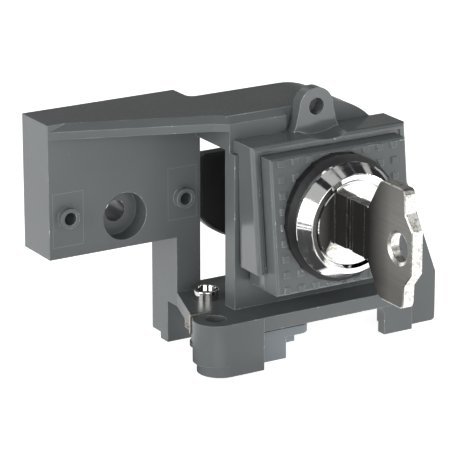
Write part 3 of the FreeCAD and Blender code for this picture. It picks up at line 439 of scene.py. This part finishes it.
def plated_metal(name, colour, roughness=0.28):
    """Plated or drawn metal with a slightly uneven finish."""
    material, tree, shader = new_material(name, colour, roughness, metallic=1.0)
    marks = use_group(tree, "Scratches", -700, 0, Density=520.0)
    dark, light = scaled(colour, 0.8), scaled(colour, 1.12)
    shade = mix_colours(tree, marks.outputs["Streaks"], dark, light, x=-300, y=200)
    tree.links.new(shade, shader.inputs["Base Color"])
    rough = map_range(tree, marks.outputs["Streaks"], 0.3, 0.7, roughness - 0.06, roughness + 0.12, x=-300)
    tree.links.new(rough, shader.inputs["Roughness"])
    bump(tree, shader, marks.outputs["Streaks"], 0.15, 0.01 * MM)
    return material


def soft_rubber(colour):
    material, tree, shader = new_material("Gasket rubber", colour, 0.42, specular=0.38)
    surface = use_group(tree, "Mould grain", -700, 0, Grain=2500.0, Clouds=300.0)
    dark, light = scaled(colour, 0.8), scaled(colour, 1.6)
    shade = mix_colours(tree, surface.outputs["Tone"], dark, light, x=-300, y=200)
    tree.links.new(shade, shader.inputs["Base Color"])
    rough = map_range(tree, surface.outputs["Height"], 0.3, 0.7, 0.34, 0.52, x=-300)
    tree.links.new(rough, shader.inputs["Roughness"])
    bump(tree, shader, surface.outputs["Height"], 0.5, 0.03 * MM)
    return material


def finish(node, material):
    finish_object(frame["nodes"][node], material)


def finish_object(mesh_object, material):
    """Gives an object its material in every slot."""
    if not mesh_object.material_slots:
        mesh_object.data.materials.append(material)
    for slot in mesh_object.material_slots:
        slot.link = "OBJECT"
        slot.material = material


# ---------------------------------------------------------------- operators
class KEYLOCK_OT_stage(Operator):
    """Make the floor, the lights, the dark cards that the chrome mirrors, and the camera"""

    bl_idname = "keylock.stage"
    bl_label = "Stage"

    def execute(self, context):
        settings = context.scene.keylock_stage
        low, high = CAD_BOX
        middle = (low + high) / 2
        self.floor(low.z, middle, settings)
        self.lights(middle)
        self.cards(middle)
        self.camera(context, settings)
        self.world(context)
        context.scene.view_settings.view_transform = "Standard"
        return {"FINISHED"}

    def floor(self, height, middle, settings):
        """Pale floor, glowing a little; in reflections only, it has dark patches that fade right and back."""
        size = FLOOR_HALF_SIZE
        mesh = bpy.data.meshes.new("floor")
        corners = [(-size, -size), (size, -size), (size, size), (-size, size)]
        mesh.from_pydata([(middle.x + x, middle.y + y, height) for x, y in corners], [], [(0, 1, 2, 3)])
        plane = bpy.data.objects.new("floor", mesh)
        bpy.context.collection.objects.link(plane)
        material, tree, shader = new_material("Pale floor", (0.9, 0.9, 0.9), 0.9, specular=0.1)
        where = add_node(tree, "ShaderNodeTexCoord", -700, 0)
        soft = noise(tree, where.outputs["Object"], 6.0, 2.0, x=-500)
        tone = mix_colours(tree, soft, (0.89, 0.89, 0.89), (0.91, 0.91, 0.91), x=-300)
        split = add_node(tree, "ShaderNodeSeparateXYZ", -900, -500)
        tree.links.new(where.outputs["Object"], split.inputs["Vector"])
        to_right = map_range(tree, split.outputs["X"], LOCK.x - 0.03, LOCK.x + 0.03, -0.02, 0.4, x=-700, y=-500)
        patches = noise(tree, where.outputs["Object"], 26.0, 1.0, x=-700, y=-300)
        to_back = map_range(tree, split.outputs["Y"], LOCK.y + 0.02, LOCK.y + 0.05, 0.0, 0.4, x=-700, y=-700)
        patches = maths(tree, "ADD", patches, maths(tree, "MAXIMUM", to_right, to_back), x=-600, y=-300)
        patches = map_range(tree, patches, 0.50, 0.54, 0.04, 1.0, x=-500, y=-300)
        path = add_node(tree, "ShaderNodeLightPath", -700, -500)
        seen = mix_colours(tree, path.outputs["Is Glossy Ray"], (1, 1, 1), patches, x=-300, y=-300)
        tree.links.new(seen, shader.inputs["Emission Color"])
        shaded = mix_colours(tree, 1.0, tone, seen, "MULTIPLY", x=-150, y=0)
        tree.links.new(shaded, shader.inputs["Base Color"])
        shader.inputs["Emission Strength"].default_value = settings.floor_glow
        plane.data.materials.append(material)

    def light(self, name, place, target, size, power):
        data = bpy.data.lights.new(name, "AREA")
        data.shape = "RECTANGLE"
        data.size, data.size_y = size
        data.energy = power
        lamp = bpy.data.objects.new(name, data)
        lamp.location = place
        lamp.rotation_euler = (target - place).to_track_quat("-Z", "Y").to_euler()
        bpy.context.collection.objects.link(lamp)

    def lights(self, middle):
        self.light("front_box", middle + Vector((-0.25, -0.75, 0.22)), middle, (0.55, 0.45), 2.9)
        self.light("left_box", middle + Vector((-0.75, -0.10, 0.20)), middle, (0.5, 0.5), 4.1)
        self.light("right_box", middle + Vector((0.70, -0.35, 0.30)), middle, (0.3, 0.5), 2.4)
        self.light("back_box", middle + Vector((-0.10, 0.55, 0.60)), middle, (0.8, 0.3), 0.6)

    def cards(self, middle):
        """Dark cards that the camera doesn't see, mirrored by the shiny pieces."""
        material, tree, shader = new_material("Black card", (0.02, 0.02, 0.02), 0.8)
        for name, place, size in (
            ("card_low", Vector((-0.050, -0.085, -0.026)), (0.075, 0.060)),
            ("card_left", Vector((-0.42, -0.45, 0.05)), (0.05, 0.30)),
            ("card_right", Vector((0.30, -0.60, 0.10)), (0.07, 0.35)),
            ("card_top", Vector((0.0, -0.35, 0.48)), (0.30, 0.09)),
        ):
            half_x, half_y = size[0] / 2, size[1] / 2
            mesh = bpy.data.meshes.new(name)
            corners = [(-half_x, -half_y), (half_x, -half_y), (half_x, half_y), (-half_x, half_y)]
            mesh.from_pydata([(x, y, 0) for x, y in corners], [], [(0, 1, 2, 3)])
            card = bpy.data.objects.new(name, mesh)
            card.location = LOCK + place
            if name == "card_low":
                card.rotation_euler = (0, 0, math.radians(-30))
            else:
                card.rotation_euler = (-place).to_track_quat("-Z", "Y").to_euler()
            card.data.materials.append(material)
            card.visible_camera = False
            card.visible_shadow = False
            card.visible_diffuse = False
            bpy.context.collection.objects.link(card)

    def world(self, context):
        """Room of pale and dark patches for the shiny pieces to mirror, dimmer toward the back."""
        world = bpy.data.worlds.new("Soft room")
        context.scene.world = world
        world.use_nodes = True
        tree = world.node_tree
        back = tree.nodes["Background"]
        where = add_node(tree, "ShaderNodeTexCoord", -900, 0)
        stretch = add_node(tree, "ShaderNodeMapping", -700, 0)
        stretch.inputs["Scale"].default_value = (1.0, 1.0, 0.6)
        tree.links.new(where.outputs["Generated"], stretch.inputs["Vector"])
        windows = noise(tree, stretch.outputs["Vector"], 3.4, 1.0, x=-500)
        lit = map_range(tree, windows, 0.47, 0.53, x=-300)
        split = add_node(tree, "ShaderNodeSeparateXYZ", -700, -300)
        tree.links.new(where.outputs["Generated"], split.inputs["Vector"])
        ahead = map_range(tree, split.outputs["Y"], 0.2, 0.7, 1.0, 0.5, x=-500, y=-300)
        lit = maths(tree, "MULTIPLY", lit, ahead, x=-200)
        room = mix_colours(tree, lit, (0.03, 0.03, 0.032), (0.50, 0.50, 0.49), x=-100)
        tree.links.new(room, back.inputs["Color"])
        back.inputs["Strength"].default_value = 1.0

    def camera(self, context, settings):
        target = LOCK + Vector((-18.2, 10.0, -2.25)) * MM
        azimuth, elevation = settings.azimuth, settings.elevation
        back = Vector((
            math.sin(azimuth) * math.cos(elevation),
            -math.cos(azimuth) * math.cos(elevation),
            math.sin(elevation),
        ))
        data = bpy.data.cameras.new("camera")
        data.lens = settings.lens
        data.sensor_width = 36.0
        data.clip_start = 0.01
        data.clip_end = 20.0
        camera = bpy.data.objects.new("camera", data)
        camera.location = target + back * settings.distance
        camera.rotation_euler = (-back).to_track_quat("-Z", "Y").to_euler()
        context.collection.objects.link(camera)
        context.scene.camera = camera


class KEYLOCK_OT_mouldings(Operator):
    """Finish the frame, the lock block, the face plate, the lever and the disc"""

    bl_idname = "keylock.mouldings"
    bl_label = "Mouldings"

    def execute(self, context):
        colours = context.scene.keylock_colours
        sizes = context.scene.keylock_sizes
        finish("frame_body", moulded_plastic(
            "Frame plastic", colours.plastic, sizes.grain, sizes.edge, 0.34, lines=WITNESS_LINES
        ))
        finish("lock_block", moulded_plastic(
            "Block plastic", colours.plastic, sizes.grain, sizes.edge, 0.15, specular=0.85, relief=0.06
        ))
        finish("face_plate", moulded_plastic("Plate plastic", colours.plastic, sizes.grain, sizes.edge, 0.36))
        finish("latch_lever", moulded_plastic("Lever plastic", colours.lever, sizes.grain, sizes.edge, 0.42))
        # The disc's pale edge line is made stronger: partly edge wear, partly a painted highlight.
        finish("blocking_disc", moulded_plastic(
            "Disc plastic", colours.disc, sizes.grain, sizes.edge, 0.45, wear_and_sheen=4.0
        ))
        return {"FINISHED"}


class KEYLOCK_OT_lock(Operator):
    """Finish the lock's head, plug, gasket, washer, nut, clip, spindle and wafers"""

    bl_idname = "keylock.lock"
    bl_label = "Lock"

    def execute(self, context):
        colours = context.scene.keylock_colours
        chrome = polished_chrome("Polished chrome", colours.chrome)
        zinc = plated_metal("Zinc plate", colours.zinc)
        finish("lock_barrel", chrome)
        finish("plug", chrome)
        finish("lock_gasket", soft_rubber(colours.rubber))
        for node in ("lock_washer", "lock_nut", "plug_clip", "drive_spindle", "disc_washer", "disc_screw",
                     "rivet_clip", "upper_wafer_springs", "lower_wafer_springs"):
            finish(node, zinc)
        brass = plated_metal("Wafer brass", colours.brass, 0.32)
        finish("upper_wafers", brass)
        finish("lower_wafers", brass)
        return {"FINISHED"}


class KEYLOCK_OT_key(Operator):
    """Finish the key"""

    bl_idname = "keylock.key"
    bl_label = "Key"

    def execute(self, context):
        colour = context.scene.keylock_colours.key
        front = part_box("key")[0].y
        finish("key", stamped_key(colour, front + SHANK_PAINTED_REFLECTION_FROM, front + SHANK_PAINTED_REFLECTION_TO))
        return {"FINISHED"}


class KEYLOCK_OT_rivet(Operator):
    """Finish the rivet and the torsion spring"""

    bl_idname = "keylock.rivet"
    bl_label = "Rivet and spring"

    def execute(self, context):
        finish("pivot_rivet", polished_chrome("Bright nickel", (0.62, 0.61, 0.59)))
        wound = self.wound_spring(context)
        finish_object(wound, plated_metal("Spring wire", (0.50, 0.47, 0.42), 0.30))
        return {"FINISHED"}

    def wound_spring(self, context):
        """Copy of the solid spring, which stands in for it while the solid one is hidden."""
        solid = frame["nodes"]["torsion_spring"]
        wire = solid.copy()
        wire.data = solid.data.copy()
        wire.name = "wound_spring"
        wire.parent = None
        wire.matrix_world = solid.matrix_world
        context.collection.objects.link(wire)
        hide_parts("torsion_spring")
        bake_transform(wire)
        return wire


class KEYLOCK_PT_panel(Panel):
    """Lists the pieces and their settings"""

    bl_idname = "KEYLOCK_PT_panel"
    bl_label = "Key lock"
    bl_space_type = "VIEW_3D"
    bl_region_type = "UI"
    bl_category = "Key lock"

    def draw(self, context):
        layout = self.layout
        for operator in OPERATORS:
            layout.operator(operator.bl_idname)
        for group in (context.scene.keylock_colours, context.scene.keylock_sizes, context.scene.keylock_stage):
            box = layout.box()
            for name in group.__annotations__:
                box.prop(group, name)


OPERATORS = (
    KEYLOCK_OT_mouldings,
    KEYLOCK_OT_lock,
    KEYLOCK_OT_key,
    KEYLOCK_OT_rivet,
    KEYLOCK_OT_stage,
)
CLASSES = (KeyLockColours, KeyLockSizes, KeyLockStage) + OPERATORS + (KEYLOCK_PT_panel,)


def register():
    for entry in CLASSES:
        bpy.utils.register_class(entry)
    bpy.types.Scene.keylock_colours = PointerProperty(type=KeyLockColours)
    bpy.types.Scene.keylock_sizes = PointerProperty(type=KeyLockSizes)
    bpy.types.Scene.keylock_stage = PointerProperty(type=KeyLockStage)


def unregister():
    for name in ("keylock_colours", "keylock_sizes", "keylock_stage"):
        delattr(bpy.types.Scene, name)
    for entry in reversed(CLASSES):
        bpy.utils.unregister_class(entry)


def main():
    register()
    for operator in OPERATORS:
        group, name = operator.bl_idname.split(".")
        getattr(getattr(bpy.ops, group), name)()


if __name__ == "__main__":
    main()
